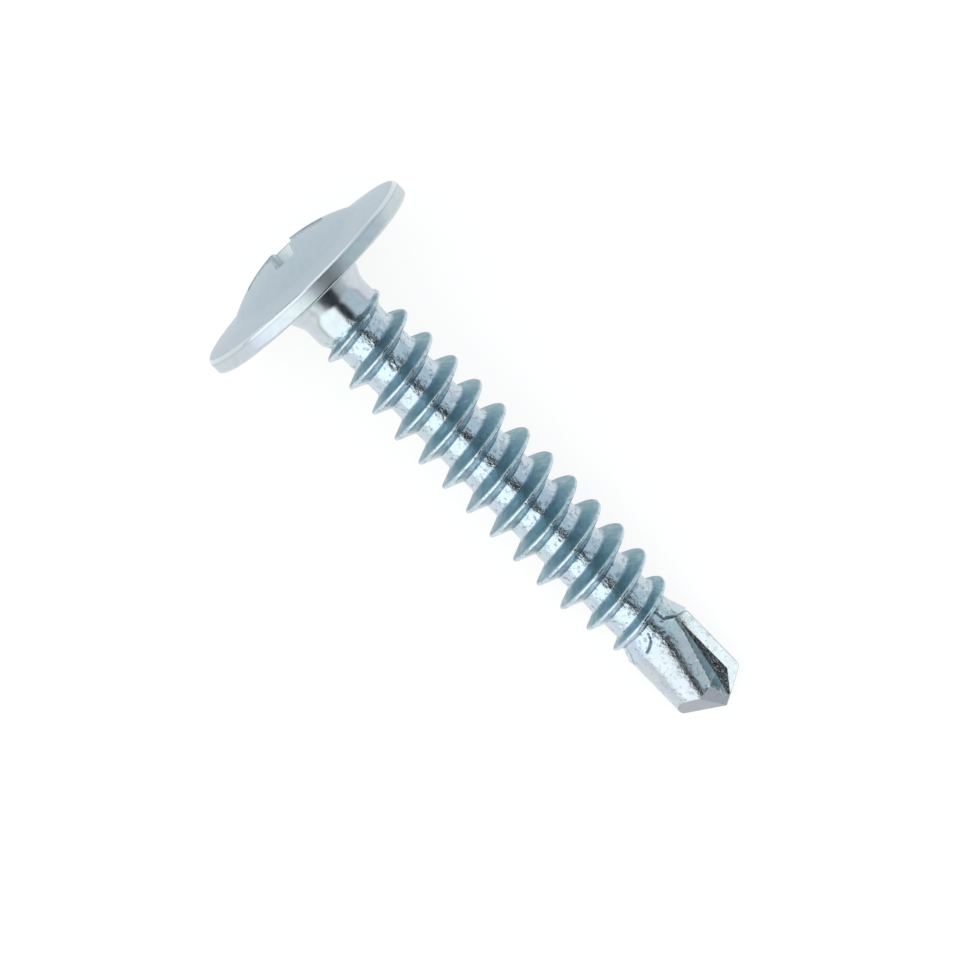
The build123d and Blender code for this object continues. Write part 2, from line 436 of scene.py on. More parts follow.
# %% The points of the grid
flange_waves = ((0.01, 3, 0.6), (0.006, 7, 2))  # height, waves in a turn, where they start
flange_shrink = 0.001
turn_share = np.linspace(0, 1, columns + 1)
azimuth = seam + 2 * np.pi * turn_share
shank_depth = start_depth[:, None] + (end_depth - start_depth)[:, None] * turn_share
shank_azimuth = np.broadcast_to(azimuth, shank_depth.shape)
shank_out, groove_mask, flank_mask = shank_surface(shank_depth, shank_azimuth)
shank_points = place(shank_depth, shank_out, shank_azimuth)
head_ring = np.broadcast_to(azimuth, (len(head_outline), columns + 1))
head_share = (head_outline[:, 0] / head_radius)[:, None] ** 2
head_wave = sum(rise * np.sin(count * head_ring + first) for rise, count, first in flange_waves)
head_depth = head_share * head_wave - head_outline[:, 1][:, None]
head_out = head_outline[:, 0][:, None] * (1 - flange_shrink * head_share)
head_points = place(head_depth, head_out, head_ring)
grid = np.concatenate((head_points, shank_points))
no_mask = np.zeros(head_ring.shape)
grid_groove = np.concatenate((no_mask, groove_mask))
grid_flank = np.concatenate((no_mask, flank_mask))
print("grid of", grid.shape[0], "rows and", grid.shape[1], "columns")

# %% [markdown]
# One function makes a mesh from a grid, for the blank and the cutters alike. It merges
# the points that fall together and closes the ends, because a boolean needs a solid. The
# print says whether any edge is left open.

# %% From a grid to a closed mesh
merge_within = 0.0005
no_shorter_than = 0.0002


def mesh_from_grid(name, points, masks=None):
    """A mesh of quads between neighbouring rows and columns, with a point attribute for
    each mask. Points that fall together, at the seam, the pole and the fans, are merged,
    and flat caps close the ends."""
    rows, cols = points.shape[:2]
    corner = np.arange(rows * cols).reshape(rows, cols)
    quads = np.stack(
        (corner[:-1, :-1], corner[:-1, 1:], corner[1:, 1:], corner[1:, :-1]), axis=-1
    ).reshape(-1, 4)
    mesh = bpy.data.meshes.new(name)
    mesh.from_pydata(points.reshape(-1, 3) * MM, [], quads)
    for mask, values in (masks or {}).items():
        mesh.attributes.new(mask, "FLOAT", "POINT").data.foreach_set("value", values.ravel())
    shape = bmesh.new()
    shape.from_mesh(mesh)
    bmesh.ops.remove_doubles(shape, verts=shape.verts, dist=merge_within * MM)
    bmesh.ops.dissolve_degenerate(shape, edges=shape.edges, dist=no_shorter_than * MM)
    bmesh.ops.holes_fill(shape, edges=[edge for edge in shape.edges if edge.is_boundary])
    bmesh.ops.recalc_face_normals(shape, faces=shape.faces)
    if shape.calc_volume(signed=True) < 0:
        bmesh.ops.reverse_faces(shape, faces=shape.faces)
    open_edges = sum(not edge.is_manifold for edge in shape.edges)
    volume = shape.calc_volume(signed=True) / MM**3
    print(name, len(shape.faces), "faces,", open_edges, "open edges,", round(volume, 2), "mm3")
    shape.to_mesh(mesh)
    shape.free()
    piece = bpy.data.objects.new(name, mesh)
    bpy.context.scene.collection.objects.link(piece)
    return piece


screw = mesh_from_grid("screw_body", grid, {"groove": grid_groove, "flank": grid_flank})

# %% [markdown]
# ## Cutting
# The punch that strikes the recess and the dies that pinch the flutes are simple solids,
# so they are made as such and taken away from the blank. The recess punch is a function
# of height and of the place along its outline: wing end, wing side, core, eight times.

# %% The cross recess
recess_radius = 2.1
recess_depth = 2.2
wing_half_width = 0.5
wing_draft = np.tan(np.radians(3))
wing_end_slope = np.tan(np.radians(26.5))
core_of_recess = 0.92
floor_slope = np.tan(np.radians(28))
recess_turn = np.radians(-6)
above_head = 0.6
full_reach_drop = 0.33  # the wings reach recess_radius this far under the dome's top
end_points, side_points, core_points = 3, 7, 4


def recess_outline(height):
    """Outline of the punch at one height: each quarter has half a wing's end, its side,
    a quarter of the core, the next side and half the next end."""
    drop = head_height - height
    reach = recess_radius - (drop - full_reach_drop) * wing_end_slope
    half_width = wing_half_width - drop * wing_draft
    core = core_of_recess - drop * wing_draft
    end_turn = np.arcsin(half_width / reach)
    core_turn = np.arcsin(half_width / core)
    side = np.linspace(reach * np.cos(end_turn), core * np.cos(core_turn), side_points)
    turn = np.concatenate(
        (
            np.linspace(0, end_turn, end_points + 1)[:-1],
            np.arctan2(half_width, side),
            np.linspace(core_turn, np.pi / 2 - core_turn, core_points + 2)[1:-1],
        )
    )
    radius = np.concatenate(
        (np.full(end_points, reach), np.hypot(half_width, side), np.full(core_points, core))
    )
    last_side = end_points + side_points - 1
    quarter_turn = np.concatenate((turn, np.pi / 2 - turn[last_side:0:-1]))
    quarter_radius = np.concatenate((radius, radius[last_side:0:-1]))
    whole_turn = np.concatenate([quarter_turn + quarter * np.pi / 2 for quarter in range(4)])
    return whole_turn, np.tile(quarter_radius, 4)


def punch_points():
    """Rows of the punch from above the head down to its floor, then to the tip's pole."""
    floor = head_height - recess_depth
    rows = []
    for height in np.linspace(head_height + above_head, floor, 9):
        turn, radius = recess_outline(height)
        rows.append((np.full_like(turn, -height), radius, turn + recess_turn))
    depth, radius, turn = rows[-1]
    widest = radius.max()
    for share in (0.6, 0.3, 0.0):
        lower = depth + (widest - share * radius) * floor_slope * (1 - share)
        rows.append((lower, radius * share, turn))
    points = np.stack([place(*row) for row in rows])
    return np.concatenate((points, points[:, :1]), axis=1)


recess_punch = mesh_from_grid("recess_punch", punch_points())

# %% [markdown]
# The flute is a wide trough. Its heel wall is steep, its floor is nearly level with the
# axis, and beside the cutting edge a narrow border rises to the lip. The cutter is a
# six-sided bar whose inner corners follow broken lines, from near the surface at the
# shoulder to near the axis at the point. Its rows lie close together, which keeps the
# heel's edge straight where the bar bends. Its first face leans back, as the die's does.

# %% The flutes
flute_start, last_flute_row, flute_end = 20.39, 25.2, 25.3
valley_bends = (22.72,)
border_bends = (23.35, 24.35)
even_rows = np.linspace(flute_start, last_flute_row, 20)
flute_rows = np.sort(np.concatenate((even_rows, valley_bends, border_bends)))


def along_flute(bends, values):
    """The broken line through the values at the flute's start, its bends and its end."""
    return np.interp(flute_rows, (flute_start, *bends, flute_end), values)


valley_across = along_flute(valley_bends, (1.05, 0.65, 0.1))
heel_across = along_flute((), (0.92, -0.5))
heel_up = along_flute((), (1.27, 0.66))
border_across = along_flute(border_bends, (1.07, 1.09, 0.33, 0.14))
border_steepens = (21.5, 23.0)
border_angle = np.interp(flute_rows, border_steepens, (10, 19))
border_slope = np.tan(np.radians(border_angle))
floor_up = 0.2
floor_tilt = np.tan(np.radians(4))
end_lean = 0.32
past_lip = 2.2
beyond = 3.0


def flute_points(turn):
    """Corners of the bar in the section's plane, across and up: valley, border's inner
    edge, border carried past the lip, a corner beside and above the drill, and the heel
    wall carried up from the valley through the heel's edge."""
    up_valley = floor_up + (border_across - valley_across) * floor_tilt
    reach = (beyond - up_valley) / (heel_up - up_valley)
    far_side = np.full_like(valley_across, past_lip)
    far_up = np.full_like(up_valley, beyond)
    level = np.full_like(up_valley, floor_up)
    carried_lip = floor_up + (past_lip - border_across) * border_slope
    carried_heel = valley_across + (heel_across - valley_across) * reach
    corners_across = (valley_across, border_across, far_side, far_side, carried_heel, valley_across)
    corners_up = (up_valley, level, carried_lip, far_up, far_up, up_valley)
    across, up = np.stack(corners_across, axis=1), np.stack(corners_up, axis=1)
    depth = np.broadcast_to(flute_rows[:, None], across.shape).copy()
    depth[0] -= end_lean * (up[0] - floor_up)
    return place(depth, np.hypot(across, up), np.arctan2(across, up) + turn)


flute_bars = [
    mesh_from_grid("flute_bar_a", flute_points(0.0)),
    mesh_from_grid("flute_bar_b", flute_points(np.pi)),
]

# %% [markdown]
# Struck and pinched metal has sharp borders, so the cutters are taken away by exact
# booleans. Moving the grid's points instead would round every border off.

# %% Take the cutters away from the blank
def cut_away(piece, cutter):
    """Exact boolean difference, applied to the mesh, after which the cutter is dropped."""
    step = piece.modifiers.new("cut", "BOOLEAN")
    step.operation = "DIFFERENCE"
    step.solver = "EXACT"
    step.object = cutter
    graph = bpy.context.evaluated_depsgraph_get()
    cut = bpy.data.meshes.new_from_object(piece.evaluated_get(graph))
    piece.modifiers.clear()
    old = piece.data
    piece.data = cut
    bpy.data.meshes.remove(old)
    bpy.data.objects.remove(cutter)


for cutter in (recess_punch, *flute_bars):
    name = cutter.name
    cut_away(screw, cutter)
    print("after", name, len(screw.data.polygons), "faces")

# %% [markdown]
# The point itself is six flat facets, three on each lobe: the lip's relief, the lobe's
# back and the heel. Each is a plane through the tip, so cutting is one bisection a plane,
# and the hole that it leaves is filled flat. The new faces are marked, so that the plate
# can be darker on them.

# %% The facets of the point
facets = ((90.0, 58.2), (-49.0, 43.3), (8.0, 38.2))  # turn, and angle to the axis, in degrees
merge_cut_within = 0.0008
no_cut_shorter_than = 0.0005
crease_angle = np.radians(28)
tip = Vector(seat + length * to_point) * MM
shape = bmesh.new()
shape.from_mesh(screw.data)
facet_layer = shape.faces.layers.float.new("facet")
for turn, angle in facets:
    for half_turn in (0.0, 180.0):
        facing = np.radians(turn + half_turn)
        lean = np.radians(angle)
        round_axis = np.cos(facing) * upward + np.sin(facing) * sideways
        outward = np.cos(lean) * round_axis + np.sin(lean) * to_point
        everything = shape.verts[:] + shape.edges[:] + shape.faces[:]
        cut = bmesh.ops.bisect_plane(
            shape, geom=everything, plane_co=tip, plane_no=Vector(outward), clear_outer=True
        )
        edges = [item for item in cut["geom_cut"] if isinstance(item, bmesh.types.BMEdge)]
        rim = [edge for edge in edges if edge.is_boundary]
        for face in bmesh.ops.holes_fill(shape, edges=rim)["faces"]:
            face[facet_layer] = 1.0
bmesh.ops.remove_doubles(shape, verts=shape.verts, dist=merge_cut_within * MM)
bmesh.ops.dissolve_degenerate(shape, edges=shape.edges, dist=no_cut_shorter_than * MM)
bmesh.ops.recalc_face_normals(shape, faces=shape.faces)
open_edges = sum(edge.is_boundary or not edge.is_manifold for edge in shape.edges)
print("finished screw:", len(shape.faces), "faces,", open_edges, "open edges")
shape.to_mesh(screw.data)
shape.free()
screw.data.shade_smooth()
screw.data.set_sharp_from_angle(angle=crease_angle)

# %% [markdown]
# The flute's heel wall is steep and gets painted shade, so it gets a mask of its own. Its
# faces lie inside the blank's section, are steep against the upward axis and don't look
# at the point. They are all tested at once as whole arrays.

# %% A mask for the flutes' steep walls
cut_deeper_than = 0.02
wall_leans_less_than = 0.75
wall_faces_point_less_than = 0.55
faces = screw.data.polygons
face_centres = np.empty((len(faces), 3))
face_normals = np.empty((len(faces), 3))
faces.foreach_get("center", face_centres.ravel())
faces.foreach_get("normal", face_normals.ravel())
face_places = face_centres / MM - seat
face_up, face_across = face_places @ upward, face_places @ sideways
face_depth = face_places @ to_point
blank_there = drill_section(face_depth, np.arctan2(face_across, face_up))
cut_in = blank_there - np.hypot(face_up, face_across) > cut_deeper_than
steep = np.abs(face_normals @ upward) < wall_leans_less_than
not_at_point = face_normals @ to_point < wall_faces_point_less_than
heel_wall = cut_in & steep & not_at_point & (face_depth > shoulder_end)
wall_mask = screw.data.attributes.new("heel_wall", "FLOAT", "FACE")
wall_mask.data.foreach_set("value", heel_wall.astype(float))
print("heel wall:", int(heel_wall.sum()), "faces")

# %% [markdown]
# The dies' faces meet at small angles on the drill, and smooth shading would spread those
# lines into soft gradients. The thread's grid has steps as large that should stay smooth,
# so a smaller angle is used on the drill alone.

# %% Crisp lines on the drill
drill_from = shoulder_end - 0.12
drill_crease_angle = np.radians(11)
shape = bmesh.new()
shape.from_mesh(screw.data)
crisp = 0
for edge in shape.edges:
    middle = np.array(edge.verts[0].co + edge.verts[1].co) / (2 * MM) - seat
    if middle @ to_point > drill_from and edge.calc_face_angle(0) > drill_crease_angle:
        edge.smooth = False
        crisp += 1
print("crisp edges on the drill:", crisp)
shape.to_mesh(screw.data)
shape.free()

# %% [markdown]
# ## Zinc plate
# Bright zinc is a metal, so nearly all of its colour is what it mirrors. What makes it
# look real is small: the plating crystals' soft mottle, tints where the passivate is
# thicker, pits, and edges that the barrel has burnished. Each is a node group with its
# own inputs, which the material blends by depth, because the head is struck and satin
# while the thread is rolled and bright. A few helpers keep the node trees readable.


# %% Helpers for node trees
def fill(tree, socket, value):
    """Links a socket to another one, or gives it a plain value."""
    if isinstance(value, bpy.types.NodeSocket):
        tree.links.new(value, socket)
    else:
        socket.default_value = value


def link_up(tree, kind, inputs=None, **settings):
    """Adds a node, sets its properties, and fills inputs with values or with sockets."""
    node = tree.nodes.new(kind)
    for key, value in settings.items():
        setattr(node, key, value)
    for key, value in (inputs or {}).items():
        fill(tree, node.inputs[key], value)
    return node


def maths(tree, operation, *values):
    """The result socket of a Math node."""
    node = link_up(tree, "ShaderNodeMath", dict(enumerate(values)), operation=operation)
    return node.outputs[0]


def times(tree, *values):
    """The product of two or more sockets or numbers."""
    product = values[0]
    for value in values[1:]:
        product = maths(tree, "MULTIPLY", product, value)
    return product


def vector_maths(tree, operation, *values):
    """A Vector Math node."""
    return link_up(tree, "ShaderNodeVectorMath", dict(enumerate(values)), operation=operation)


def ramp(tree, value, low, high):
    """Nought at low and one at high, smooth in between, and the other way about where low
    is the larger of the two."""
    limits = {"Value": value, "From Min": low, "From Max": high}
    node = link_up(tree, "ShaderNodeMapRange", limits, interpolation_type="SMOOTHSTEP")
    return node.outputs["Result"]


def blend_colour(tree, share, one, other):
    """A colour between two others: the first at nought and the second at one."""
    sides = {6: one, 7: other}
    for index, value in sides.items():
        if not isinstance(value, bpy.types.NodeSocket):
            sides[index] = (*value, 1)
    node = link_up(tree, "ShaderNodeMix", {0: share, **sides}, data_type="RGBA")
    return node.outputs[2]


# %% Helpers for patterns and groups
def millimetres(tree):
    """Object coordinates in millimetres."""
    coordinates = tree.nodes.new("ShaderNodeTexCoord")
    inputs = {0: coordinates.outputs["Object"], "Scale": 1 / MM}
    return link_up(tree, "ShaderNodeVectorMath", inputs, operation="SCALE").outputs[0]


def noise(tree, vector, scale, detail=3.0, roughness=0.55):
    """The value of a Noise texture with a scale per millimetre."""
    inputs = {"Vector": vector, "Scale": scale, "Detail": detail, "Roughness": roughness}
    return link_up(tree, "ShaderNodeTexNoise", inputs).outputs["Fac"]


def mask_named(tree, name):
    """The value of one of the mesh's attributes."""
    return link_up(tree, "ShaderNodeAttribute", attribute_name=name).outputs["Fac"]


def new_group(name, inputs, outputs):
    """A shader node group with float inputs and outputs of the named kinds."""
    group = bpy.data.node_groups.new(name, "ShaderNodeTree")
    for key, value in inputs.items():
        socket = group.interface.new_socket(key, in_out="INPUT", socket_type="NodeSocketFloat")
        socket.default_value = value
    for key, kind in outputs.items():
        group.interface.new_socket(key, in_out="OUTPUT", socket_type=kind)
    return group, group.nodes.new("NodeGroupInput"), group.nodes.new("NodeGroupOutput")


def use_group(tree, group, **inputs):
    """Places a group in a material with its own values."""
    return link_up(tree, "ShaderNodeGroup", inputs, node_tree=group)


def finish_group(group, ends, results):
    """Links a group's results to its outputs."""
    for key, socket in results.items():
        group.links.new(socket, ends.inputs[key])
    print("group", group.name, "has", len(group.nodes), "nodes")


# %% [markdown]
# The finishes change along the screw, so the material has to know how far down it a
# point lies. Object coordinates and the seat's place give that: the depth is the dot
# product with the axis, and the radius is the length of the cross product.

# %% Group: where on the screw a point lies
places, _, ends = new_group(
    "place_on_screw", {}, {"Depth": "NodeSocketFloat", "Radius": "NodeSocketFloat"}
)
from_seat = vector_maths(places, "SUBTRACT", millimetres(places), tuple(seat)).outputs[0]
down_axis = vector_maths(places, "DOT_PRODUCT", from_seat, tuple(to_point)).outputs["Value"]
crossed = vector_maths(places, "CROSS_PRODUCT", from_seat, tuple(to_point)).outputs[0]
off_axis = vector_maths(places, "LENGTH", crossed).outputs["Value"]
finish_group(places, ends, {"Depth": down_axis, "Radius": off_axis})

# %% [markdown]
# Zinc grows as fine crystals, and the thin passivate film over it takes a faint green or
# violet tint where it is thicker. A small noise gives the mottle, and two broad ones that
# lie apart give soft patches of each tint.

# %% Group: zinc's colour, with mottle and the passivate's tints
bright_zinc = (0.62, 0.675, 0.71)
dull_zinc = (0.48, 0.54, 0.59)
green_film = (0.56, 0.68, 0.62)
violet_film = (0.58, 0.6, 0.72)
violet_shift = (7.3, 2.1, 5.7)
mottle_limits, green_limits, violet_limits = (0.34, 0.68), (0.5, 0.72), (0.52, 0.74)
tint, ins, ends = new_group(
    "zinc_colour", {"Mottle": 0.5, "Tint": 0.5}, {"Color": "NodeSocketColor"}
)
spot = millimetres(tint)
mottle = ramp(tint, noise(tint, spot, scale=2.6, detail=5.0, roughness=0.62), *mottle_limits)
zinc = blend_colour(tint, times(tint, mottle, ins.outputs["Mottle"]), bright_zinc, dull_zinc)
green = ramp(tint, noise(tint, spot, scale=0.55), *green_limits)
zinc = blend_colour(tint, times(tint, green, ins.outputs["Tint"]), zinc, green_film)
violet_spot = vector_maths(tint, "ADD", spot, violet_shift).outputs[0]
violet = ramp(tint, noise(tint, violet_spot, scale=0.42), *violet_limits)
zinc = blend_colour(tint, times(tint, violet, ins.outputs["Tint"]), zinc, violet_film)
finish_group(tint, ends, {"Color": zinc})

# %% [markdown]
# Fine grain, broader dimples and small pits are too small to model, so they are a height
# for a Bump node. The pits are also put out as a mask, with which the material paints
# shade into them.

# %% Group: fine relief, pits and the mask of the pits
grain_height = 0.004
dimple_height = 0.027
pit_fall = 0.006
pit_limits = (0.54, 0.68)
relief, ins, ends = new_group(
    "plating_relief",
    {"Grain": 1.0, "Pits": 1.0, "Dimples": 1.0},
    {"Height": "NodeSocketFloat", "Pit mask": "NodeSocketFloat"},
)
spot = millimetres(relief)
grain = times(relief, noise(relief, spot, scale=22.0), ins.outputs["Grain"], grain_height)
dimple = times(relief, noise(relief, spot, scale=5.5), ins.outputs["Dimples"], dimple_height)
pit_field = ramp(relief, noise(relief, spot, scale=5.0), *pit_limits)
pit = times(relief, pit_field, ins.outputs["Pits"])
raised = maths(relief, "ADD", grain, dimple)
height = maths(relief, "SUBTRACT", raised, times(relief, pit, pit_fall))
finish_group(relief, ends, {"Height": height, "Pit mask": pit})

# %% [markdown]
# Screws are plated and packed loose, so they rub each other bright where they stick out.
# Pointiness says how sharply the surface bends, and a noise breaks the bright line up.

# %% Group: burnished edges, from how sharply the surface bends
bend_limits, break_limits = (0.52, 0.6), (0.3, 0.55)
wear, ins, ends = new_group("burnished_edges", {"Amount": 1.0}, {"Mask": "NodeSocketFloat"})
bend = wear.nodes.new("ShaderNodeNewGeometry").outputs["Pointiness"]
broken = noise(wear, millimetres(wear), scale=6.0, detail=4.0)
edge = times(wear, ramp(wear, bend, *bend_limits), ramp(wear, broken, *break_limits))
finish_group(wear, ends, {"Mask": times(wear, edge, ins.outputs["Amount"])})

# %% [markdown]
# ## The material
# One material covers the screw, since it is plated in one bath. First come the masks:
# the depths between which one finish passes into the next, and the cross recess, which
# lies under the dome's sphere and near the axis.

# %% Where each finish, painted reflection and painted highlight lies, in millimetres
thread_begins = (1.6, 2.3)
thread_ends = (20.6, 20.2)
drill_begins = (20.2, 20.6)
struck_above = (-0.05, -0.2)
dome_above = (-0.5, -0.6)
# where the flange's fillet gets its painted highlight
fillet_outside = (5.1, 5.16)
fillet_above = (-0.57, -0.62)
under_dome = (0.03, 0.07)
recess_inside = (2.3, 2.2)
recess_above = (0.4, 0.3)
streak_limits = (0.25, 0.6)
# how much painted dark reflection the head-side flank gets, least and streaked part
flank_least, flank_streak = 0.6, 0.3


def recess_mask(tree, depth, radius):
    """One inside the cross recess: how far a point lies under the dome's sphere, which is
    the depth plus the sphere's height at that radius, and only near the axis."""
    square = maths(tree, "SUBTRACT", dome_radius**2, times(tree, radius, radius))
    sphere = maths(tree, "ADD", maths(tree, "SQRT", square), head_height - dome_radius)
    under = ramp(tree, maths(tree, "ADD", depth, sphere), *under_dome)
    near_axis = ramp(tree, radius, *recess_inside)
    return times(tree, under, near_axis, ramp(tree, depth, *recess_above))


def finish_and_painted_light_masks(tree):
    """The masks of the screw's finishes and of its painted shade, reflection and highlight, by
    name.
    """
    where = use_group(tree, places)
    depth, radius = where.outputs["Depth"], where.outputs["Radius"]
    masks = {name: mask_named(tree, name) for name in ("flank", "groove", "heel_wall", "facet")}
    into, out_of = ramp(tree, depth, *thread_begins), ramp(tree, depth, *thread_ends)
    masks["threaded"] = times(tree, into, out_of)
    masks["drilled"] = ramp(tree, depth, *drill_begins)
    masks["struck"] = ramp(tree, depth, *struck_above)
    masks["domed"] = ramp(tree, depth, *dome_above)
    masks["hollow"] = recess_mask(tree, depth, radius)
    outer = ramp(tree, radius, *fillet_outside)
    masks["fillet"] = times(tree, outer, ramp(tree, depth, *fillet_above))
    # a streaky noise varies how much painted dark reflection the flank gets
    streak = ramp(tree, noise(tree, millimetres(tree), scale=2.2, detail=4.0), *streak_limits)
    share = maths(tree, "MULTIPLY_ADD", streak, flank_streak, flank_least)
    masks["flank"] = times(tree, masks["flank"], share)
    return masks


# %% [markdown]
# The colours go over one another like washes, each as far as its mask times a share. The
# rolled thread is bluer and its pits get painted shade. Its flanks on the head's side get a
# painted dark reflection in deep teal, and the heel wall gets painted shade in teal. The
# dome is satin and greyer, the recess is pale, the flange's fillet gets a painted
# highlight, and the grooves get painted shade that is nearly black. Roughness follows the
# same masks.

# %% The washes of colour and the roughness of each finish
rolled_blue = (0.54, 0.73, 0.86)
# painted shade in the pits
pit_painted_shade = (0.15, 0.21, 0.25)
# painted dark reflection on the flanks that face the head
flank_painted_reflection = (0.17, 0.335, 0.395)
dome_grey = (0.41, 0.505, 0.57)
rubbed_bright = (0.78, 0.82, 0.84)
# painted shade in teal on the flute's heel wall
heel_wall_painted_shade = (0.25, 0.4, 0.41)
recess_pale = (0.8, 0.86, 0.86)
# painted highlight along the flange's top fillet
fillet_painted_highlight = (0.62, 0.67, 0.7)
facet_grey = (0.33, 0.35, 0.4)
# painted shade in the grooves and the hook, nearly black
groove_painted_shade = (0.09, 0.12, 0.14)
drill_relief = 0.6
roughness_spread, smooth_least, satin_least = 0.12, 0.14, 0.34


def plate_colour(tree, masks, surface):
    """The zinc's own colour, with a wash over it for each finish and each painted shade, reflection
    or highlight in turn.
    """
    bare = maths(tree, "SUBTRACT", 1.0, masks["flank"])
    rubbed = use_group(tree, wear, Amount=0.8).outputs["Mask"]
    washes = (
        (masks["threaded"], 0.32, rolled_blue),
        # painted shade in the pits
        (surface.outputs["Pit mask"], 0.55, pit_painted_shade),
        # painted dark reflection on the flanks that face the head
        (masks["flank"], 1.0, flank_painted_reflection),
        (masks["domed"], 0.75, dome_grey),
        (times(tree, rubbed, masks["threaded"], bare), 1.0, rubbed_bright),
        # painted shade on the flute's heel wall
        (masks["heel_wall"], 0.75, heel_wall_painted_shade),
        (masks["hollow"], 0.8, recess_pale),
        # painted highlight along the flange's top fillet
        (masks["fillet"], 1.0, fillet_painted_highlight),
        (masks["facet"], 0.85, facet_grey),
        # painted shade in the grooves and the hook
        (masks["groove"], 0.85, groove_painted_shade),
    )
    colour = use_group(tree, tint, Mottle=0.5, Tint=0.6).outputs["Color"]
    for mask, share, wash in washes:
        colour = blend_colour(tree, times(tree, mask, share), colour, wash)
    return colour


def plate_roughness(tree, masks):
    """Bright rolled metal, and the roughness of each other finish in turn."""
    smooth = noise(tree, millimetres(tree), scale=4.0)
    satin = noise(tree, millimetres(tree), scale=3.0)
    roughness = maths(tree, "MULTIPLY_ADD", smooth, roughness_spread, smooth_least)
    finishes = {
        "struck": 0.36,
        "domed": maths(tree, "MULTIPLY_ADD", satin, roughness_spread, satin_least),
        "hollow": 0.55,
        "fillet": 0.2,
        "facet": 0.33,
        "flank": 0.4,
    }
    for name, value in finishes.items():
        mixed = link_up(tree, "ShaderNodeMix", {0: masks[name], 2: roughness, 3: value})
        roughness = mixed.outputs[0]
    return roughness


# %% [markdown]
# The relief goes into a Bump node, after a Bevel node that rounds every border by a few
# hundredths of a millimetre, as the plate does. The mesh itself keeps its exact cuts.

# %% The plate on the screw
plate_rounding = 0.035


def zinc_plate():
    """Satin on the struck head, brighter and dimpled on the rolled thread, and less dimpled
    on the pinched drill."""
    material = bpy.data.materials.new("zinc_plate")
    material.use_nodes = True
    tree = material.node_tree
    masks = finish_and_painted_light_masks(tree)
    on_drill = times(tree, masks["drilled"], drill_relief)
    worked = maths(tree, "ADD", masks["threaded"], on_drill)
    surface = use_group(tree, relief, Grain=0.6, Pits=worked, Dimples=worked)
    rounded = tree.nodes.new("ShaderNodeBevel")
    rounded.samples = 4
    rounded.inputs["Radius"].default_value = plate_rounding * MM
    bumps = {"Height": surface.outputs["Height"], "Distance": MM, "Normal": rounded.outputs[0]}
    shader = tree.nodes["Principled BSDF"]
    shader.inputs["Metallic"].default_value = 1.0
    fill(tree, shader.inputs["Base Color"], plate_colour(tree, masks, surface))
    fill(tree, shader.inputs["Roughness"], plate_roughness(tree, masks))
    fill(tree, shader.inputs["Normal"], link_up(tree, "ShaderNodeBump", bumps).outputs[0])
    print("material", material.name, "has", len(tree.nodes), "nodes")
    return material


screw.data.materials.clear()
screw.data.materials.append(zinc_plate())
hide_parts("self_drilling_screw")
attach(screw, "root")

# %% [markdown]
# ## Table, light and camera
# A bright metal shows the room more than itself. A long softbox on one side gives the
# white band down the shank, a dark card overhead, where the camera hangs, gives the
# black line beside it, and a dimmer card fills the far side. At the ends stand a dark
# card past the point and a pale one past the head. The camera and the shadows don't see
# the cards, so only the metal and the light on the paper do.


# %% The stage's pieces
def flat_sheet(name, corners, material):
    """A rectangle from its four corners in millimetres."""
    mesh = bpy.data.meshes.new(name)
    mesh.from_pydata(np.array(corners, float) * MM, [], [(0, 1, 2, 3)])
    mesh.materials.append(material)
    sheet = bpy.data.objects.new(name, mesh)
    bpy.context.scene.collection.objects.link(sheet)
    sheet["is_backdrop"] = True
    return sheet


def stage_material(name):
    """A material with an empty node tree."""
    material = bpy.data.materials.new(name)
    material.use_nodes = True
    material.node_tree.nodes.clear()
    return material


def glowing(name, colour, strength):
    """A plain emissive material."""
    material = stage_material(name)
    tree = material.node_tree
    glow = link_up(tree, "ShaderNodeEmission", {"Color": (*colour, 1), "Strength": strength})
    link_up(tree, "ShaderNodeOutputMaterial", {"Surface": glow.outputs[0]})
    return material


# %% The table's paper
paper_white = 0.84
paper_grey = 0.9
table_reach = 900


def white_paper():
    """Diffuse paper that takes the shadow, mixed with plain white for what the camera and
    mirrors see of it."""
    material = stage_material("white_paper")
    tree = material.node_tree
    rays = tree.nodes.new("ShaderNodeLightPath").outputs
    seen = maths(tree, "MAXIMUM", rays["Is Camera Ray"], rays["Is Glossy Ray"])
    seen = maths(tree, "MAXIMUM", seen, rays["Is Transmission Ray"])
    share = times(tree, seen, paper_white)
    paper_colour = (paper_grey, paper_grey, paper_grey, 1)
    paper = link_up(tree, "ShaderNodeBsdfDiffuse", {"Color": paper_colour})
    white = link_up(tree, "ShaderNodeEmission", {"Color": (1, 1, 1, 1), "Strength": 1.0})
    parts = {0: share, 1: paper.outputs[0], 2: white.outputs[0]}
    mixed = link_up(tree, "ShaderNodeMixShader", parts)
    link_up(tree, "ShaderNodeOutputMaterial", {"Surface": mixed.outputs[0]})
    return material


table_corners = table_reach * np.array(((-1, -1, 0), (1, -1, 0), (1, 1, 0), (-1, 1, 0)))
flat_sheet("table_top", table_corners, white_paper())
print("the table reaches", table_reach, "mm to every side")

# %% [markdown]
# The band that a round shank mirrors depends on a card's direction, so the long cards
# are given by the angles of their two edges, and the distance only sets their size.


# %% The cards
def hide_from_camera(sheet, lights_floor):
    """Leaves a sheet for mirrors, and for the light on the paper where it is wanted."""
    sheet.visible_camera = False
    sheet.visible_shadow = False
    sheet.visible_diffuse = lights_floor


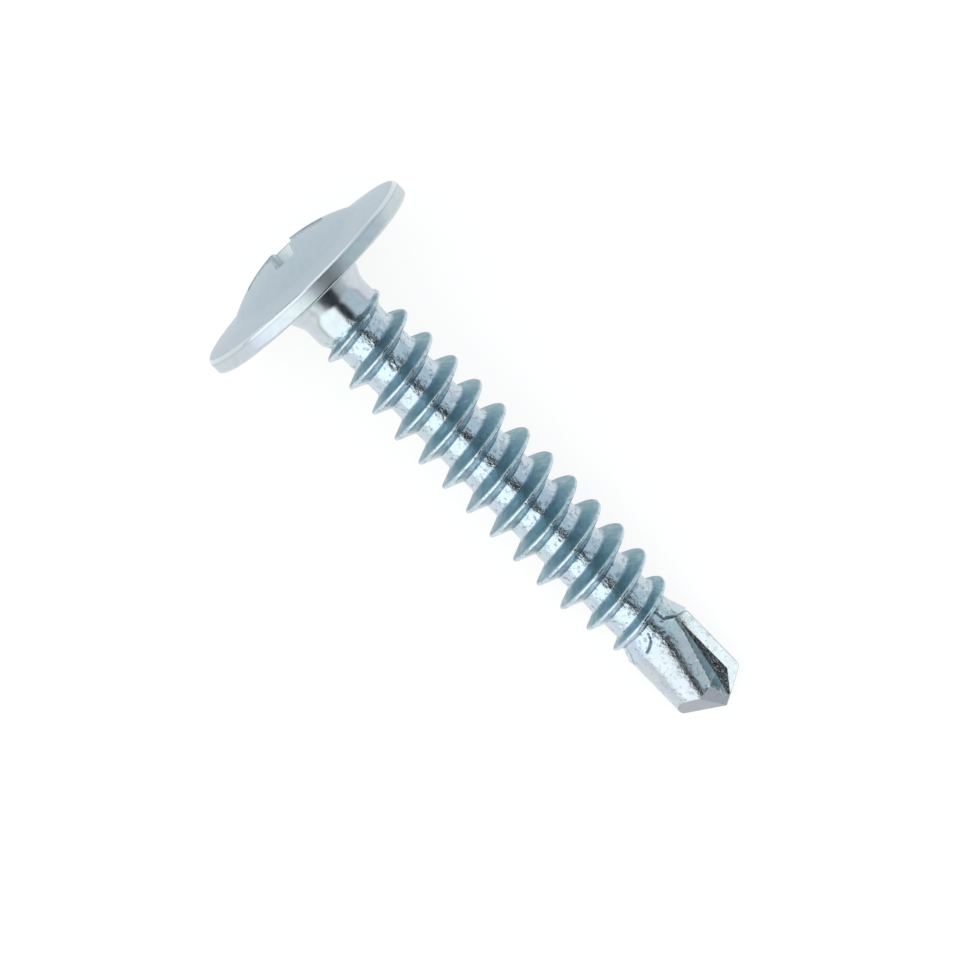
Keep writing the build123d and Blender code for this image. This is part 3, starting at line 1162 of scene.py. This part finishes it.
def long_card(name, low, high, distance, start, end, material, lights_floor):
    """A flat card whose two long edges are seen from the screw at two angles from straight
    up towards the sideways axis, and which runs from a start to an end along the screw."""
    edges = [(distance * np.sin(a), distance * np.cos(a)) for a in np.radians((low, high))]
    (y_low, z_low), (y_high, z_high) = edges
    near_edge = ((start, y_low, z_low), (end, y_low, z_low))
    far_edge = ((end, y_high, z_high), (start, y_high, z_high))
    hide_from_camera(flat_sheet(name, near_edge + far_edge, material), lights_floor)


def end_card(name, x, low, high, left, right, material):
    """An upright card across one end of the screw: its place along the table, its lower and
    upper edges' heights and how far it reaches on both sides."""
    corners = ((x, left, low), (x, right, low), (x, right, high), (x, left, high))
    hide_from_camera(flat_sheet(name, corners, material), True)


black = glowing("black_card", (0.014, 0.021, 0.027), 1)
white = glowing("soft_box", (0.97, 1.0, 1.0), 1.47)
grey = glowing("grey_card", (0.65, 0.75, 0.81), 1.0)
long_card("dark_card", -6, 24, 190, -120, 620, black, False)
long_card("soft_box", -82, -7, 260, -340, 340, white, True)
long_card("far_card", 27, 84, 320, -300, 400, grey, True)
end_card("dark_end", 420, 60, 420, -150, 150, black)
end_card("pale_end", -400, 60, 620, -50, 420, glowing("pale_card", (0.93, 0.97, 1.0), 1.3))

# %% [markdown]
# The paper needs even light from above, or the cards alone would tint it. The lamp isn't
# mirrored, so it adds nothing to the metal's pattern, and its half metre makes the
# shadow soft. A pale sky at low strength fills what the cards leave open.

# %% A soft lamp overhead, and the room
lamp = bpy.data.lights.new("overhead", "AREA")
lamp.size = 0.5
lamp.energy = 1.4
overhead = bpy.data.objects.new("overhead", lamp)
overhead.location = (0, 0, 0.5)
overhead.visible_glossy = False
bpy.context.scene.collection.objects.link(overhead)
world = bpy.data.worlds.new("room")
world.use_nodes = True
sky = world.node_tree.nodes["Background"].inputs
sky["Color"].default_value = (0.86, 0.9, 0.95, 1)
sky["Strength"].default_value = 0.55
bpy.context.scene.world = world
print("the lamp:", round(lamp.energy, 2), "W and", lamp.size, "m wide")

# %% [markdown]
# The camera looks straight down from 200 mm. Its roll makes the screw run across the
# picture from the upper left to the lower right.

# %% Camera
camera_height = 200.0
camera_shift = (-0.669, -0.760)
camera_roll = np.radians(45.55)
lens = bpy.data.cameras.new("camera")
lens.sensor_width = 36.0
lens.lens = 181.01
lens.clip_start = 0.01
lens.clip_end = 10.0
camera = bpy.data.objects.new("camera", lens)
camera.location = Vector((*camera_shift, camera_height)) * MM
camera.rotation_euler = (0, 0, camera_roll)
bpy.context.scene.collection.objects.link(camera)
bpy.context.scene.camera = camera
bpy.context.scene.view_settings.view_transform = "Standard"
seen_width = camera_height * lens.sensor_width / lens.lens
print("the picture is", round(seen_width, 1), "mm wide on the table")

# %% Sizes, and the end
low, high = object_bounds()
past = [*(cad_low - low), *(high - cad_high)]
print("visual box in mm", [round(1000 * side, 3) for side in high - low])
print("past the CAD box in mm", [round(1000 * value, 3) for value in past])
